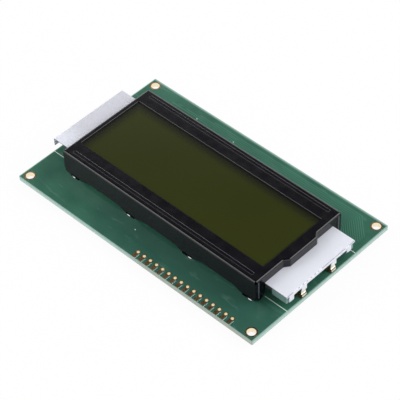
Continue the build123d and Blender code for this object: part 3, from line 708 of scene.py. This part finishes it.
# Rear side: tracks from the header to the controller, between the drops and out to the contacts
drops = {"controller": (-29.0, -8.0), "controllerRadius": 8.5,
         "drivers": ((-27.0, 11.5), (0.0, 11.5), (27.0, 11.5), (29.0, -8.0)), "driverRadius": 6.5,
         "ringGap": 0.9, "ringWidth": 0.2, "ink": 0.02}
rear = {
    "foil": 0.035, "width": 0.22, "tuck": 0.3, "bend": 0.4, "padGap": 0.8,
    "busPitch": 0.38, "busStart": -25.2, "riserPitch": 0.75, "riserStart": -32.75,
    "linkY": 2.6, "linkPitch": 0.45, "links": 5, "linkSpread": 1.3, "driverSpread": 1.1,
    "fan": 12, "fanSpread": 0.85, "fanNeck": 0.5, "fanPitch": 1.05, "fanEnd": 20.6, "fanStagger": 0.8,
    "fanShort": 3.4, "dotRadius": 0.34, "dotHeight": 0.05,
}
foilLow = boardUnder - rear["foil"]
tuck, bend = rear["tuck"], rear["bend"]


def rimReach(centre, radius, x):
    return math.sqrt(max(0.0, radius ** 2 - (x - centre[0]) ** 2))


tracks, dots = startShape(), startShape()
controller, controllerRadius = drops["controller"], drops["controllerRadius"]
for k in range(header["count"]):
    x = header["lastX"] - (header["count"] - 1 - k) * header["pitch"]
    y = rear["busStart"] + k * rear["busPitch"]
    riser = rear["riserStart"] + k * rear["riserPitch"]
    rim = controller[1] - rimReach(controller, controllerRadius, riser)
    addRibbon(tracks, [
        (x, header["y"] + rear["padGap"]), (x, y - bend), (x - bend, y),
        (riser + bend, y), (riser, y + bend), (riser, rim + tuck),
    ], rear["width"], foilLow, boardUnder)
last = drops["drivers"][3]
for k in range(rear["links"]):
    y = rear["linkY"] + k * rear["linkPitch"]
    step = k - rear["links"] // 2
    start = controller[0] + step * rear["linkSpread"]
    end = last[0] - step * rear["driverSpread"]
    startRim = controller[1] + rimReach(controller, controllerRadius, start)
    endRim = last[1] + rimReach(last, drops["driverRadius"], end)
    addRibbon(tracks, [
        (start, startRim - tuck), (start, y - bend), (start + bend, y),
        (end - bend, y), (end, y - bend), (end, endRim - tuck),
    ], rear["width"], foilLow, boardUnder)
    for driver in drops["drivers"][:3]:
        x = driver[0] + step * rear["driverSpread"]
        rim = driver[1] - rimReach(driver, drops["driverRadius"], x)
        addRibbon(tracks, [(x, y), (x, rim + tuck)], rear["width"], foilLow, boardUnder)
for driver in drops["drivers"]:
    way = 1 if driver[1] > 0 else -1
    farthest = rear["fanEnd"] if way > 0 else rear["fanEnd"] - rear["fanShort"]
    for k in range(rear["fan"]):
        step = k - (rear["fan"] - 1) / 2
        x = driver[0] + step * rear["fanSpread"]
        rim = driver[1] + way * rimReach(driver, drops["driverRadius"], x)
        end = (driver[0] + step * rear["fanPitch"], way * (farthest - (k % 2) * rear["fanStagger"]))
        addRibbon(tracks, [(x, rim - way * tuck), (x, rim + way * rear["fanNeck"]), end],
                  rear["width"], foilLow, boardUnder)
        addDome(dots, end, rear["dotRadius"], boardUnder, -rear["dotHeight"])
addPiece("rearTracks", tracks, copperMask)
addPiece("rearVias", dots, tinned)

# Printed rings round the resin drops
shape = startShape()
circles = [(driver, drops["driverRadius"]) for driver in drops["drivers"]]
for centre, radius in [(controller, controllerRadius)] + circles:
    inner = radius + drops["ringGap"]
    addRing(shape, centre, inner, inner + drops["ringWidth"], foilLow - drops["ink"], boardUnder)
addPiece("dropRings", shape, silkInk)

# Tinned caps, pads and solder at both ends of the small rear parts
chips = {
    "rows": (
        (0.5, [(3.0 + (k - 2) * 3.6, -14.0) for k in range(5)]),  # height and places of the resistors
        (0.85, [(-12.0, -8.0), (-12.0, -14.0), (12.0, 1.5), (17.0, -5.0)]),  # and of the capacitors
    ),
    "length": 2.0, "width": 1.25, "cap": 0.38, "capGap": 0.002, "proud": 0.02,
    "pad": 0.55, "padWidth": 1.45, "padThickness": 0.04,
    "climb": 0.75, "waist": 0.3, "waistOut": 0.12, "toe": 0.06,
}
caps, solder = startShape(), startShape()
half = chips["width"] / 2
for height, places in chips["rows"]:
    for x, y in places:
        for end in (-1, 1):
            face = x + end * chips["length"] / 2
            inner = face - end * chips["cap"]
            outer = face + end * chips["proud"]
            addRibbon(caps, [(inner, y), (outer, y)], chips["width"] + 2 * chips["proud"],
                      boardUnder - height - chips["proud"], boardUnder - chips["capGap"])
            addRibbon(solder, [(inner, y), (face + end * chips["pad"], y)], chips["padWidth"],
                      boardUnder - chips["padThickness"], boardUnder)
            first = len(solder["points"])
            profile = (
                (outer, height * chips["climb"]),
                (outer + end * chips["waistOut"], height * chips["waist"]),
                (face + end * (chips["pad"] - chips["toe"]), chips["padThickness"]),
                (outer, chips["padThickness"]),
            )
            for at, drop in profile:
                solder["points"] += [(at, y + side * half, boardUnder - drop) for side in (-1, 1)]
            solder["faces"] += [tuple(first + n for n in loop) for loop in (
                (0, 1, 3, 2), (2, 3, 5, 4), (4, 5, 7, 6), (6, 7, 1, 0), (0, 2, 4, 6), (1, 7, 5, 3),
            )]
addPiece("chipCaps", caps, tinned)
addPiece("chipSolder", solder, tinned)
print("rear side dressed")
